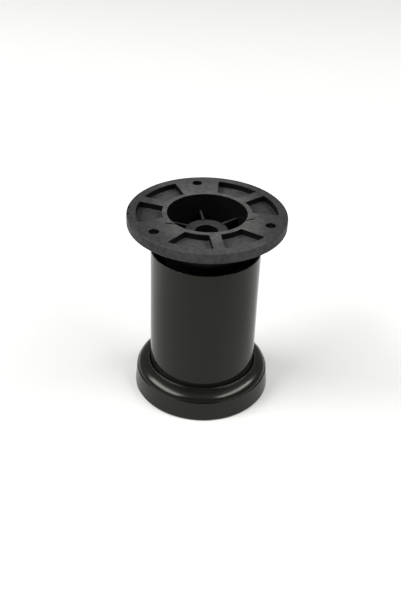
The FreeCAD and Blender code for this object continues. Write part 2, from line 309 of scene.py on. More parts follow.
def add_node(tree, kind, settings=None, inputs=None):
    """A shader node with its settings; each input is linked to an output or set to a value."""
    node = tree.nodes.new(kind)
    for name, value in (settings or {}).items():
        setattr(node, name, value)
    for socket, source in (inputs or {}).items():
        if isinstance(source, bpy.types.NodeSocket):
            tree.links.new(source, node.inputs[socket])
        else:
            node.inputs[socket].default_value = source
    return node


def new_material(name):
    """An empty node material and its tree."""
    material = bpy.data.materials.new(name)
    material.use_nodes = True
    material.node_tree.nodes.clear()
    return material, material.node_tree


def grain_bump(tree, place_socket, grain_mm, depth_mm, strength):
    """Relief of fine rounded grain, its width and depth in millimetres."""
    noise = add_node(
        tree,
        "ShaderNodeTexNoise",
        inputs={"Vector": place_socket, "Scale": 1 / (grain_mm * MM), "Detail": 2.0, "Roughness": 0.5},
    )
    return add_node(
        tree,
        "ShaderNodeBump",
        inputs={"Height": noise.outputs["Fac"], "Distance": depth_mm * MM, "Strength": strength},
    )


def spread(tree, place_socket, size_mm, low, high):
    """A slow drift of a value between low and high, its patches of the given size."""
    noise = add_node(
        tree,
        "ShaderNodeTexNoise",
        inputs={"Vector": place_socket, "Scale": 1 / (size_mm * MM), "Detail": 3.0},
    )
    drift = add_node(
        tree,
        "ShaderNodeMapRange",
        inputs={
            "Value": noise.outputs["Fac"], "From Min": 0.3, "From Max": 0.7, "To Min": low, "To Max": high,
        },
    )
    return drift.outputs["Result"]


def distance_from_axis(tree, where):
    """How far a point lies from the leg's upright axis."""
    split = add_node(tree, "ShaderNodeSeparateXYZ", inputs={"Vector": where})
    flat = add_node(
        tree, "ShaderNodeCombineXYZ", inputs={"X": split.outputs["X"], "Y": split.outputs["Y"], "Z": 0.0}
    )
    return add_node(
        tree, "ShaderNodeVectorMath", {"operation": "LENGTH"}, {0: flat.outputs["Vector"]}
    ).outputs["Value"]


def painted_sheen_share(tree, where, radius, settings):
    """Painted sheen: how far the top face of the hub and its spokes is paled, in uneven patches; none at
    the rim.
    """
    hub = add_node(
        tree,
        "ShaderNodeMapRange",
        {"interpolation_type": "SMOOTHSTEP"},
        {
            "Value": radius,
            "From Min": settings.core_radius * MM,
            "From Max": settings.pocket_outer_radius * MM,
            "To Min": spread(tree, where, size_mm=5.0, low=0.4, high=1.0),
            "To Max": 0.0,
        },
    )
    height = add_node(tree, "ShaderNodeSeparateXYZ", inputs={"Vector": where})
    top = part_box("top_plate")[1].z
    raised = add_node(
        tree,
        "ShaderNodeMapRange",
        inputs={
            "Value": height.outputs["Z"],
            "From Min": top - 2 * settings.edge_round * MM,
            "From Max": top,
            "To Min": 0.0,
            "To Max": hub.outputs["Result"],
        },
    )
    return raised.outputs["Result"]


def painted_shade_share(tree, where, settings):
    """Painted shade: how far the colour is darkened, more towards the left and right, and fully on the
    sunken boss and ribs.
    """
    aside = add_node(tree, "ShaderNodeVectorMath", {"operation": "ABSOLUTE"}, {0: where})
    split = add_node(tree, "ShaderNodeSeparateXYZ", inputs={"Vector": aside.outputs["Vector"]})
    sideways_shade = add_node(
        tree,
        "ShaderNodeMapRange",
        {"interpolation_type": "SMOOTHSTEP"},
        {
            "Value": split.outputs["X"],
            "From Min": settings.side_shade_start * MM,
            "From Max": settings.side_shade_full * MM,
            "To Min": 0.0,
            "To Max": 1.0,
        },
    )
    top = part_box("top_plate")[1].z
    share = add_node(
        tree,
        "ShaderNodeMapRange",
        inputs={
            "Value": split.outputs["Z"],
            "From Min": top - settings.boss_drop * MM,
            "From Max": top - settings.pocket_depth * MM,
            "To Min": 1.0,
            "To Max": sideways_shade.outputs["Result"],
        },
    )
    return share.outputs["Result"]


def moulded_black_polypropylene(settings):
    """Polypropylene from a steel mould: jet black on the walls as painted shade, grey and dull on upward
    faces and the rim as painted light, paler on top of the hub as painted sheen, darker at the sides and on
    the boss as painted shade, with the mottle of the mould's grain."""
    material, tree = new_material("moulded_black_polypropylene")
    coordinates = add_node(tree, "ShaderNodeTexCoord")
    where = coordinates.outputs["Object"]
    radius = distance_from_axis(tree, where)
    facing = add_node(tree, "ShaderNodeSeparateXYZ", inputs={"Vector": coordinates.outputs["Normal"]})
    upward = add_node(
        tree,
        "ShaderNodeMapRange",
        inputs={
            "Value": facing.outputs["Z"], "From Min": 0.3, "From Max": 0.85, "To Min": 0.0, "To Max": 1.0,
        },
    )
    rim = -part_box("top_plate")[0].x
    # Painted light and shade: upward faces and the outer rim take the pale grey as painted light; walls
    # keep the black as painted shade
    lit_share = add_node(
        tree,
        "ShaderNodeMapRange",
        inputs={
            "Value": radius,
            "From Min": rim - settings.rim_round * MM / 2,
            "From Max": rim - settings.rim_round * MM / 5,
            "To Min": upward.outputs["Result"],
            "To Max": 1.0,
        },
    ).outputs["Result"]
    # Painted light: the pale grey of lit faces, paler still on the hub as painted sheen
    lit_and_sheen = add_node(
        tree,
        "ShaderNodeMix",
        {"data_type": "RGBA"},
        {
            "Factor": painted_sheen_share(tree, where, radius, settings),
            6: settings.lit_colour,
            7: settings.sheen_colour,
        },
    )
    mottle = add_node(
        tree,
        "ShaderNodeMix",
        {"data_type": "RGBA", "blend_type": "MULTIPLY"},
        {"Factor": spread(tree, where, settings.mottle, 0.0, 1.0), 6: lit_and_sheen.outputs[2], 7: MOTTLE_SHADE},
    )
    # Painted shade at the left and right of the top and on the sunken boss
    shaded_colour = add_node(
        tree,
        "ShaderNodeMix",
        {"data_type": "RGBA", "blend_type": "MULTIPLY"},
        {"Factor": painted_shade_share(tree, where, settings), 6: mottle.outputs[2], 7: PAINTED_SHADE},
    )
    colour_here = add_node(
        tree,
        "ShaderNodeMix",
        {"data_type": "RGBA"},
        {"Factor": lit_share, 6: settings.colour, 7: shaded_colour.outputs[2]},
    )
    roughness = add_node(
        tree,
        "ShaderNodeMapRange",
        inputs={
            "Value": lit_share,
            "From Min": 0.0,
            "From Max": 1.0,
            "To Min": 0.34,
            "To Max": spread(tree, where, settings.mottle, 0.5, 0.66),
        },
    )
    bump = grain_bump(tree, where, settings.grain, depth_mm=settings.grain * 0.12, strength=0.4)
    shader = add_node(
        tree,
        "ShaderNodeBsdfPrincipled",
        inputs={
            "Base Color": colour_here.outputs[2],
            "Roughness": roughness.outputs["Result"],
            "IOR": 1.49,
            "Specular IOR Level": 0.16,
            "Normal": bump.outputs["Normal"],
        },
    )
    add_node(tree, "ShaderNodeOutputMaterial", inputs={"Surface": shader.outputs["BSDF"]})
    return material


def black_lacquered_steel(settings):
    """Rolled steel tube under sprayed lacquer: near black, mirror smooth but for a faint orange peel."""
    material, tree = new_material("black_lacquered_steel")
    where = add_node(tree, "ShaderNodeTexCoord").outputs["Object"]
    bump = grain_bump(tree, where, settings.orange_peel, depth_mm=0.002, strength=0.25)
    shader = add_node(
        tree,
        "ShaderNodeBsdfPrincipled",
        inputs={
            "Base Color": settings.colour,
            "Roughness": spread(tree, where, size_mm=12.0, low=0.07, high=0.1),
            "IOR": 1.5,
            "Specular IOR Level": 0.2,
            "Specular Tint": LACQUER_TINT,
            "Normal": bump.outputs["Normal"],
        },
    )
    add_node(tree, "ShaderNodeOutputMaterial", inputs={"Surface": shader.outputs["BSDF"]})
    return material


def polished_black_abs(settings):
    """ABS from a polished mould: glossy black, with slow swells where the plastic cooled."""
    material, tree = new_material("polished_black_abs")
    where = add_node(tree, "ShaderNodeTexCoord").outputs["Object"]
    bump = grain_bump(tree, where, grain_mm=2.5, depth_mm=0.004, strength=0.3)
    shader = add_node(
        tree,
        "ShaderNodeBsdfPrincipled",
        inputs={
            "Base Color": settings.colour,
            "Roughness": spread(tree, where, size_mm=7.0, low=0.2, high=0.25),
            "IOR": 1.53,
            "Specular IOR Level": 0.23,
            "Specular Tint": LACQUER_TINT,
            "Normal": bump.outputs["Normal"],
        },
    )
    add_node(tree, "ShaderNodeOutputMaterial", inputs={"Surface": shader.outputs["BSDF"]})
    return material


def zinc_plated_steel(settings):
    """Cold-formed steel under bright zinc: pale metal, softened by the plating's fine crystals."""
    material, tree = new_material("zinc_plated_steel")
    where = add_node(tree, "ShaderNodeTexCoord").outputs["Object"]
    bump = grain_bump(tree, where, grain_mm=0.3, depth_mm=0.01, strength=0.3)
    shader = add_node(
        tree,
        "ShaderNodeBsdfPrincipled",
        inputs={
            "Base Color": settings.colour,
            "Metallic": 1.0,
            "Roughness": spread(tree, where, size_mm=1.5, low=0.22, high=0.38),
            "Normal": bump.outputs["Normal"],
        },
    )
    add_node(tree, "ShaderNodeOutputMaterial", inputs={"Surface": shader.outputs["BSDF"]})
    return material


# What a user may change


def length(name, description, millimetres):
    """A length setting, given in millimetres."""
    return FloatProperty(
        name=name, description=description, default=millimetres * MM, unit="LENGTH", precision=5
    )


def angle(name, description, degrees):
    """An angle setting, given in degrees."""
    return FloatProperty(
        name=name, description=description, default=math.radians(degrees), subtype="ANGLE"
    )


def number(name, description, default):
    """A plain number setting."""
    return FloatProperty(name=name, description=description, default=default)


def count(name, description, default):
    """A setting that counts things."""
    return IntProperty(name=name, description=description, default=default, min=1)


def colour(name, description, default):
    """A colour setting, given as sRGB hex."""
    return FloatVectorProperty(
        name=name, description=description, default=linear(default), size=4, min=0, max=1, subtype="COLOR"
    )


class TopPlateSettings(bpy.types.PropertyGroup):
    """Sizes and finish of the top plate"""

    edge_round: length("Edge round", "Rounding of the edges of pockets, bore and boss", 0.3)
    fine_round: length("Fine round", "Rounding of the screw holes and the core's lower edge", 0.2)
    rim_round: length("Rim round", "Rounding of the flange's rim", 0.8)
    flange_thickness: length("Flange thickness", "Thickness of the flange", 5.2)
    pocket_depth: length("Pocket depth", "Depth of the sector pockets", 3.0)
    pocket_outer_radius: length("Pocket outer radius", "Outer wall of the pockets", 31.35)
    corner_round: length("Corner round", "Rounding of the upright pocket corners", 0.6)
    web_inner: length("Web at the hub", "Half the width of a wide web at the hub", 7.8)
    web_outer: length("Web at the rim", "Half the width of a wide web at the rim", 10.3)
    spoke: length("Spoke", "Half the width of a narrow spoke", 2.5)
    core_radius: length("Core radius", "Outside of the core", 20.0)
    bore_radius: length("Bore radius", "Open bore of the core", 17.7)
    root_round: length("Root round", "Rounding of the core's root", 0.8)
    boss_radius: length("Boss radius", "Outside of the threaded boss", 9.6)
    boss_drop: length("Boss drop", "From the top face down to the boss", 8.8)
    mouth_radius: length("Mouth radius", "Bevelled mouth of the boss", 5.35)
    mouth_round: length("Mouth round", "Rounding of this mouth", 0.1)
    thread_radius: length("Thread radius", "Bore of the boss", 5.05)
    rib_count: count("Ribs", "Inner ribs, and guide fins in line with them", 6)
    rib_thickness: length("Rib thickness", "Thickness of ribs and fins", 1.5)
    rib_edge: length("Rib edge", "Thickness of the ribs at their upper edge, after the mould's draft", 1.1)
    rib_round: length("Rib round", "Rounding of the ribs' upper corners", 0.25)
    rib_rise: length("Rib rise", "Height of the ribs over the boss", 0.4)
    fin_drop: length("Fin drop", "From the top face down to the fins", 25.5)
    fin_reach: length("Fin reach", "Outer edge of the guide fins", 23.9)
    fin_round: length("Fin round", "Rounding of the fins' corners", 0.5)
    flow_line_width: length("Flow line width", "Width of the flow lines across the hub", 0.8)
    nick: length("Nick", "Radius of the nicks in the rim", 0.7)
    nick_inset: length("Nick inset", "From the rim to the middle of a nick", 0.65)
    nick_depth: length("Nick depth", "Depth of the nicks", 3.0)
    grain: length("Grain", "Width of the mould's grain", 0.35)
    mottle: length("Mottle", "Width of the dusty mottle", 2.0)
    # Painted shade: how far to the side the darkening of the top face begins, and where it is full
    side_shade_start: length("Grip start", "How far to the side hands begin to wipe the dust off", 15.0)
    side_shade_full: length("Grip full", "How far to the side the dust is wiped off most", 26.0)
    colour: colour("Colour", "Colour of the clean plastic", "#080808")
    # Painted light: the pale grey stands for light falling on upward faces and the rim, not for dust
    lit_colour: colour("Dusty colour", "Colour of faces that lie open to dust", "#373737")
    # Painted sheen: the paler colour on top of the hub and spokes
    sheen_colour: colour("Worn colour", "Colour where the hub and spokes are rubbed pale", "#474746")


class SleeveSettings(bpy.types.PropertyGroup):
    """Sizes and finish of the sleeve"""

    wall: length("Wall", "Wall of the tube", 0.8)
    edge_round: length("Edge round", "Rounding of the cut edges", 0.2)
    orange_peel: length("Orange peel", "Width of the lacquer's swells", 1.6)
    colour: colour("Colour", "Colour of the lacquer", "#111210")


class FootSettings(bpy.types.PropertyGroup):
    """Sizes and finish of the foot"""

    base_round: length("Base round", "Rounding of the lower edge", 1.0)
    skirt_base: length("Skirt base", "Radius just above the floor", 32.5)
    skirt_top: length("Skirt top", "Radius just below the crease", 31.5)
    crease_height: length("Crease height", "From the floor to the crease", 9.7)
    crease_width: length("Crease width", "Width of the crease", 0.8)
    crease_depth: length("Crease depth", "Depth of the crease", 0.6)
    shoulder: length("Shoulder", "Radius of the shoulder", 31.1)
    lip_height: length("Lip height", "Height of the lip beside the sleeve", 14.2)
    bead_width: length("Bead width", "Width of the fine raised rim round the sleeve", 0.9)
    bead_height: length("Bead height", "Height of this rim over the shoulder", 0.45)
    lip_slope: angle("Lip slope", "Slope of the shoulder beside the rim", 14.0)
    crease_slope: angle("Crease slope", "Slope of the shoulder just above the crease", 74.0)
    clearance: length("Clearance", "Gap round the sleeve", 0.3)
    seat_width: length("Seat width", "Width of the sleeve's seat", 2.4)
    wall: length("Wall", "Wall of the moulding", 2.2)
    floor_top: length("Floor top", "Top of the foot's floor", 6.0)
    hub_radius: length("Hub radius", "Hub round the screw's head", 12.44)
    hub_height: length("Hub height", "Top of the hub", 10.4)
    rib_count: count("Ribs", "Ribs under the foot", 8)
    rib_thickness: length("Rib thickness", "Thickness of these ribs", 1.5)
    rib_setback: length("Rib setback", "How far the ribs stay off the floor", 0.6)
    head_gap: length("Head gap", "Gap round the screw's head", 0.05)
    colour: colour("Colour", "Colour of the plastic", "#0d0e0c")


class ScrewSettings(bpy.types.PropertyGroup):
    """Sizes and finish of the adjusting screw"""

    thread_radius: length("Thread radius", "Outside of the thread", 5.0)
    pitch: length("Pitch", "Pitch of the thread", 1.5)
    thread_depth: length("Thread depth", "Depth of the thread", 0.9)
    head_across: length("Across flats", "Width of the hexagon head", 16.0)
    head_height: length("Head height", "Height of the hexagon head", 6.4)
    tip_bevel: length("Tip bevel", "Bevel at the tip", 1.0)
    colour: colour("Colour", "Colour of the zinc", "#b4b7ba")


class StageSettings(bpy.types.PropertyGroup):
    """Camera, lights and floor"""

    azimuth: angle("Azimuth", "Camera's turn round the leg", -10.1)
    elevation: angle("Elevation", "Camera above the horizon", 33.93)
    roll: angle("Roll", "Camera's roll", 2.08)
    distance: length("Distance", "Camera to aim point", 401.17)
    aim_height: length("Aim height", "Height of the aim point", 50.0)
    focal: number("Focal length", "In pixels of the picture", 860.7)
    aim_x: number("Aim right", "Aim point right of the middle, pixels", 3.70)
    aim_y: number("Aim down", "Aim point below the middle, pixels", -6.87)
    floor_colour: colour("Floor", "Colour of the floor", "#c4c4c2")
    floor_radius: length("Floor radius", "Radius of the floor", 4000.0)
    ceiling: number("Ceiling", "Strength of the even light from above", 0.5)
    back_sky: number("Back sky", "Strength of the even light behind the leg", 0.35)
    front_sky: number("Front sky", "Strength of the even light on the camera's side", 0.12)
    light_distance: length("Light distance", "From the middle of the floor to each softbox", 1500.0)
    key: number("Key", "Power of the left light, watts", 38.0)
    fill: number("Fill", "Power of the right light, watts", 28.0)


class LegSettings(bpy.types.PropertyGroup):
    """All settings of the leg"""

    top_plate: PointerProperty(type=TopPlateSettings)
    sleeve: PointerProperty(type=SleeveSettings)
    foot: PointerProperty(type=FootSettings)
    screw: PointerProperty(type=ScrewSettings)
    stage: PointerProperty(type=StageSettings)


# The top plate

# Points round the large circles, the boss and the screw's head, the thread, a screw hole and a nick
CIRCLE_COUNT = 192
BOSS_COUNT = 96
THREAD_COUNT = 64
HOLE_COUNT = 40
NICK_COUNT = 12
# Points along a pocket's outer and inner wall
OUTER_STEPS = 20
INNER_STEPS = 12
# Edges sharper than this stay sharp: of mouldings, of the lacquered tube and of the screw
SHARP_MOULDING = math.radians(32)
SHARP_TUBE = math.radians(50)
SHARP_SCREW = math.radians(30)
# How far parts reach into each other before they are fused, in millimetres
BITE = 0.5
# What keeps the dressed rim inside the plain solid's box, in millimetres
FIT = 0.01
# Plan of the fine flow line that crosses the hub beside each front web; the other one mirrors it
FLOW_LINE = ((15.2, -9.4), (16.1, -9.0), (17.7, -8.4), (19.2, -8.1), (19.9, -8.2))
# Where the rim is nicked, in degrees from +X
NICK_ANGLES = (166.5, 176.5)


def pocket_outline(settings, side, web_angle):
    """Plan of one sector pocket, on one side of a wide web."""
    spoke_angle = FULL_TURN / settings.rib_count
    inner = settings.core_radius
    outer = settings.pocket_outer_radius
    inner_web = math.asin(settings.web_inner / inner)
    outer_web = math.asin(settings.web_outer / outer)
    inner_spoke = spoke_angle - math.asin(settings.spoke / inner)
    outer_spoke = spoke_angle - math.asin(settings.spoke / outer)
    corners = []
    for point in arc_points(outer, outer_web, outer_spoke, OUTER_STEPS):
        corners.append([*point, 0.0])
    for point in arc_points(inner, inner_spoke, inner_web, INNER_STEPS):
        corners.append([*point, 0.0])
    for index in (0, OUTER_STEPS, OUTER_STEPS + 1, OUTER_STEPS + INNER_STEPS + 1):
        corners[index][2] = settings.corner_round
    points = round_corners(corners)
    if side < 0:
        points = [(x, -y) for x, y in reversed(points)]
    return turn_points(points, web_angle)


def eased_edge(points, height, rounding, steps, upward=True, opening=True):
    """Outlines of a rounded edge, from the flat face to the wall of an opening or of the outside."""
    aside = rounding if opening else -rounding
    down = rounding if upward else -rounding
    rows = []
    for step in range(steps + 1):
        angle = QUARTER_TURN * step / steps
        loop = offset_loop(points, aside * (1 - math.sin(angle)))
        rows.append((loop, height - down * (1 - math.cos(angle))))
    return rows


def root_fillet(points, height, rounding, steps, hanging=False):
    """Outlines of the fillet from a wall to its floor, or to the flange that the wall hangs from."""
    reach = -rounding if hanging else rounding
    rows = []
    for step in range(steps + 1):
        angle = QUARTER_TURN * step / steps
        loop = offset_loop(points, -reach * (1 - math.cos(angle)))
        rows.append((loop, height + reach * (1 - math.sin(angle))))
    return rows


def rings_from(bm, rows):
    """Rings of vertices from rows of (points, height)."""
    return [ring(bm, points, height) for points, height in rows]


def make_flange(bm, settings, top, radius, holes):
    """Flange and core: pockets, holes and eased edges."""
    low = top - settings.flange_thickness
    top_loops = []
    low_loops = []
    for x, y, _ in holes:
        for side in (1, -1):
            outline = pocket_outline(settings, side, math.atan2(y, x))
            rows = eased_edge(outline, top, settings.edge_round, 4)
            rows += root_fillet(outline, top - settings.pocket_depth, settings.edge_round, 4)
            rings = rings_from(bm, rows)
            skin(bm, rings)
            bm.faces.new(rings[-1])
            top_loops.append(rings[0])
    for x, y, hole_radius in holes:
        outline = circle(hole_radius, HOLE_COUNT, (x, y))
        rows = eased_edge(outline, top, settings.fine_round, 3)
        rows += reversed(eased_edge(outline, low, settings.fine_round, 3, upward=False))
        rings = rings_from(bm, rows)
        skin(bm, rings)
        top_loops.append(rings[0])
        low_loops.append(rings[-1])

    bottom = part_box("top_plate")[0].z / MM
    bore = circle(settings.bore_radius, CIRCLE_COUNT)
    core = circle(settings.core_radius, CIRCLE_COUNT)
    rows = eased_edge(bore, top, settings.edge_round, 4)
    rows += reversed(eased_edge(bore, bottom, settings.fine_round, 3, upward=False))
    rows += eased_edge(core, bottom, settings.fine_round, 3, upward=False, opening=False)
    rows += root_fillet(core, low, settings.root_round, 6, hanging=True)
    rings = rings_from(bm, rows)
    skin(bm, rings)
    top_loops.append(rings[0])
    low_loops.append(rings[-1])

    rim = circle(radius, CIRCLE_COUNT)
    rows = eased_edge(rim, low, settings.rim_round, 6, upward=False, opening=False)
    rows += reversed(eased_edge(rim, top, settings.rim_round, 6, opening=False))
    rings = rings_from(bm, rows)
    skin(bm, rings)
    low_loops.append(rings[0])
    top_loops.append(rings[-1])
    fill_between(bm, top_loops)
    fill_between(bm, low_loops)


def rib_section(settings, low, high):
    """Upright section of a rib that thins from its foot to its upper edge, with eased corners."""
    foot = settings.rib_thickness / 2
    edge = settings.rib_edge / 2
    corners = [
        (-foot, low, 0),
        (foot, low, 0),
        (edge, high, settings.rib_round),
        (-edge, high, settings.rib_round),
    ]
    return round_corners(corners, 4)


def make_boss(bm, settings, top, bottom):
    """The threaded boss: a thick tube with a bevelled mouth."""
    boss_top = top - settings.boss_drop
    mouth = settings.mouth_radius
    profile = round_corners(
        [
            (settings.thread_radius, bottom, 0),
            (settings.boss_radius, bottom, 0),
            (settings.boss_radius, boss_top, settings.edge_round),
            (mouth, boss_top, settings.mouth_round),
            (settings.thread_radius, boss_top - (mouth - settings.thread_radius), 0),
        ],
        4,
    )
    lathe(bm, profile, BOSS_COUNT)


def rib_angles(settings):
    """Directions of the inner ribs and the guide fins, half way between spokes and webs."""
    return [FULL_TURN * (rib + 0.5) / settings.rib_count for rib in range(settings.rib_count)]


def make_ribs(bm, settings, top, bottom):
    """Inner ribs from the boss to the core's wall."""
    high = top - settings.boss_drop + settings.rib_rise
    section = rib_section(settings, bottom + BITE, high)
    start = settings.boss_radius - 2 * BITE
    for angle in rib_angles(settings):
        bar(bm, section, start, settings.bore_radius + BITE, angle)


def make_fins(bm, settings, top, bottom):
    """Guide fins with bevelled ends, in line with the inner ribs."""
    fin_top = top - settings.fin_drop
    start = settings.core_radius - BITE
    reach = settings.fin_reach
    rise = reach - settings.core_radius
    profile = round_corners(
        [
            (start, bottom, 0),
            (settings.core_radius, bottom, 0),
            (reach, bottom + rise, settings.fin_round),
            (reach, fin_top - rise, settings.fin_round),
            (settings.core_radius, fin_top, 0),
            (start, fin_top, 0),
        ],
        3,
    )
    for angle in rib_angles(settings):
        upright_plate(bm, profile, settings.rib_thickness, angle)


def ribbon(line, width):
    """Outline of a thin mark along a line, pointed at both ends."""
    left = []
    right = []
    for index in range(1, len(line) - 1):
        here = Vector(line[index])
        along = (Vector(line[index + 1]) - Vector(line[index - 1])).normalized()
        aside = Vector((-along.y, along.x)) * (width / 2)
        left.append(tuple(here + aside))
        right.append(tuple(here - aside))
    return [line[0], *right, line[-1], *reversed(left)]


def make_marks(bm, settings, top, radius):
    """Cutters for the flow lines across the hub and the nicks in the rim."""
    for side in (-1, 1):
        line = [(x * side, y) for x, y in FLOW_LINE]
        outline = ribbon(line, settings.flow_line_width)
        prism(bm, outline, top - settings.flow_line_width, top + BITE)
    for degrees in NICK_ANGLES:
        turn = math.radians(degrees)
        middle = on_circle(radius - settings.nick_inset, turn)
        prism(bm, circle(settings.nick, NICK_COUNT, middle), top - settings.nick_depth, top + BITE)


def add_solid(build, name):
    """An object built by a function that fills an empty mesh."""
    bm = bmesh.new()
    build(bm)
    return finish_mesh(bm, name)


def screw_holes():
    """Plan places and radius of the screw holes, from the record's mount."""
    mount = next(item for item in frame["record"]["mounts"] if item["kind"] == "bolt_pattern")
    sizes = mount["dims"]
    count = sizes["count"]
    holes = []
    for number in range(count):
        x, y = on_circle(sizes["pcd_mm"] / 2, QUARTER_TURN + FULL_TURN * number / count)
        holes.append((x, y, sizes["hole_r_mm"]))
    return holes


def make_top_plate(settings):
    """The whole moulding as one mesh."""
    low_corner, high_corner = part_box("top_plate")
    top = high_corner.z / MM
    bottom = low_corner.z / MM
    radius = -low_corner.x / MM - FIT
    inside = bottom + settings.fine_round
    holes = screw_holes()
    piece = add_solid(lambda bm: make_flange(bm, settings, top, radius, holes), "top_plate_moulding")
    spider = add_solid(lambda bm: make_boss(bm, settings, top, inside), "boss")
    ribs = add_solid(lambda bm: make_ribs(bm, settings, top, inside), "ribs")
    fins = add_solid(lambda bm: make_fins(bm, settings, top, bottom), "fins")
    marks = add_solid(lambda bm: make_marks(bm, settings, top, radius), "marks")
    combine(spider, ribs, "UNION")
    combine(piece, spider, "UNION")
    combine(piece, fins, "UNION")
    combine(piece, marks, "DIFFERENCE")
    smooth(piece, SHARP_MOULDING)
    return piece


class LEG_OT_top_plate(bpy.types.Operator):
    """Build the top plate: flange, core, ribs, boss and guide fins"""

    bl_idname = "leg.top_plate"
    bl_label = "Top plate"

    def execute(self, context):
        settings = in_millimetres(context.scene.leg.top_plate)
        piece = make_top_plate(settings)
        place(piece, "top_plate", "top_plate", moulded_black_polypropylene(settings))
        return {"FINISHED"}


# The sleeve


class LEG_OT_sleeve(bpy.types.Operator):
    """Build the sleeve: a thin tube with eased cut edges"""

    bl_idname = "leg.sleeve"
    bl_label = "Sleeve"

    def execute(self, context):
        settings = in_millimetres(context.scene.leg.sleeve)
        low_corner, high_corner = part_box("sleeve")
        outer = high_corner.x / MM
        inner = outer - settings.wall
        low = low_corner.z / MM
        high = high_corner.z / MM
        rounding = settings.edge_round
        corners = []
        for step in range(8):
            corners.append((outer, low + (high - low) * step / 7, 0 if 0 < step < 7 else rounding))
        corners += [(inner, high, rounding), (inner, low, rounding)]
        profile = round_corners(corners, 4)
        piece = add_solid(lambda bm: lathe(bm, profile, CIRCLE_COUNT), "sleeve_tube")
        smooth(piece, SHARP_TUBE)
        place(piece, "sleeve", "sleeve", black_lacquered_steel(settings))
        return {"FINISHED"}


# The foot

# Roundings in millimetres: hidden corners, cut edges, the seat, the finest edges, the crease's two edges
HIDDEN_ROUND = 0.4
CUT_ROUND = 0.3
SEAT_ROUND = 0.2
FINE_ROUND = 0.1
CREASE_ROUNDS = (0.12, 0.15)

def foot_levels(settings, sleeve_radius):
    """Radii and heights that the foot's profile and its ribs share."""
    socket = sleeve_radius + settings.clearance
    return SimpleNamespace(
        socket=socket,
        crease_top=settings.crease_height + settings.crease_width,
        hollow_outer=settings.shoulder - settings.wall,
        hollow_inner=socket + settings.wall,
        hollow_top=settings.lip_height - settings.wall * 2,
        web_low=settings.floor_top - settings.wall,
    )


def shoulder_curve(settings, start, end, count):
    """The crowned shoulder: one soft curve that leaves the lip and meets the crease at given slopes."""
    falls = (math.tan(settings.lip_slope), math.tan(settings.crease_slope))
    x = (end[1] - start[1] + falls[1] * end[0] - falls[0] * start[0]) / (falls[1] - falls[0])
    bend = Vector((x, start[1] - falls[0] * (x - start[0])))
    points = []
    for step in range(count + 1):
        part = step / count
        first = Vector(start).lerp(bend, part)
        second = bend.lerp(Vector(end), part)
        points.append(tuple(first.lerp(second, part)))
    return points


def foot_profile(settings, sleeve_radius, seat):
    """Closed section of the foot's moulding."""
    at = foot_levels(settings, sleeve_radius)
    hub = settings.hub_radius
    crease = settings.crease_height
    corners = [
        (0, 0, 0),
        (hub, 0, HIDDEN_ROUND),
        (hub, at.web_low, HIDDEN_ROUND),
        (at.hollow_inner, at.web_low, HIDDEN_ROUND),
        (at.hollow_inner, at.hollow_top, HIDDEN_ROUND),
        (at.hollow_outer, at.hollow_top, HIDDEN_ROUND),
        (at.hollow_outer, 0, CUT_ROUND),
        (settings.skirt_base - 0.05, 0, settings.base_round),
        (settings.skirt_top, crease, CREASE_ROUNDS[0]),
        (settings.skirt_top - settings.crease_depth, crease + 0.1, CREASE_ROUNDS[1]),
    ]
    bead_foot = at.socket + settings.bead_width
    bead_top = settings.lip_height + settings.bead_height / 3
    bead_low = bead_top - settings.bead_height
    for x, y in reversed(
        shoulder_curve(settings, (bead_foot + 0.3, bead_low), (settings.shoulder, at.crease_top), 16)
    ):
        corners.append((x, y, 0))
    corners += [
        (bead_foot, bead_low, FINE_ROUND),
        (at.socket + settings.bead_width * 0.8, bead_top, CUT_ROUND),
        (at.socket, bead_top, CUT_ROUND),
        (at.socket, seat, FINE_ROUND),
        (at.socket - settings.seat_width, seat, SEAT_ROUND),
        (at.socket - settings.seat_width, settings.floor_top, CUT_ROUND),
        (hub, settings.floor_top, HIDDEN_ROUND),
        (hub, settings.hub_height, HIDDEN_ROUND),
        (0, settings.hub_height, 0),
    ]
    return round_corners(corners, 8)


def make_foot_ribs(bm, settings, sleeve_radius):
    """Ribs under the foot, from the hub to the skirt."""
    at = foot_levels(settings, sleeve_radius)
    low = settings.rib_setback
    outline = [
        (settings.hub_radius - BITE, low),
        (at.hollow_outer + BITE, low),
        (at.hollow_outer + BITE, at.hollow_top + BITE),
        (at.hollow_inner - BITE, at.hollow_top + BITE),
        (at.hollow_inner - BITE, at.web_low + BITE),
        (settings.hub_radius - BITE, at.web_low + BITE),
    ]
    for rib in range(settings.rib_count):
        upright_plate(bm, outline, settings.rib_thickness, FULL_TURN * rib / settings.rib_count)


def hexagon(across):
    """Plan corners of a hexagon with the given width across its flats."""
    return circle(across / math.sqrt(3), 6)


class LEG_OT_foot(bpy.types.Operator):
    """Build the foot: skirt, crease, shoulder, socket, hub and ribs"""

    bl_idname = "leg.foot"
    bl_label = "Foot"

    def execute(self, context):
        settings = in_millimetres(context.scene.leg.foot)
        sleeve_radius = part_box("sleeve")[1].x / MM
        screw_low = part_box("adjusting_screw")[0].z / MM
        across = in_millimetres(context.scene.leg.screw).head_across + settings.head_gap * 2
        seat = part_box("sleeve")[0].z / MM
        profile = foot_profile(settings, sleeve_radius, seat)
        piece = add_solid(lambda bm: lathe(bm, profile, CIRCLE_COUNT), "foot_moulding")
        ribs = add_solid(lambda bm: make_foot_ribs(bm, settings, sleeve_radius), "foot_ribs")
        combine(piece, ribs, "UNION")
        hollow = add_solid(
            lambda bm: prism(bm, hexagon(across), screw_low, settings.hub_height + 1), "head_pocket"
        )
        combine(piece, hollow, "DIFFERENCE")
        smooth(piece, SHARP_MOULDING)
        place(piece, "foot", "foot", polished_black_abs(settings))
        return {"FINISHED"}


# The adjusting screw

# Shares of the pitch that one flank and the crest take, and the places in it that get a row of points
FLANK = 0.34
CREST = 0.16
THREAD_PHASES = (0.0, 0.17, 0.34, 0.5, 0.67, 0.84)
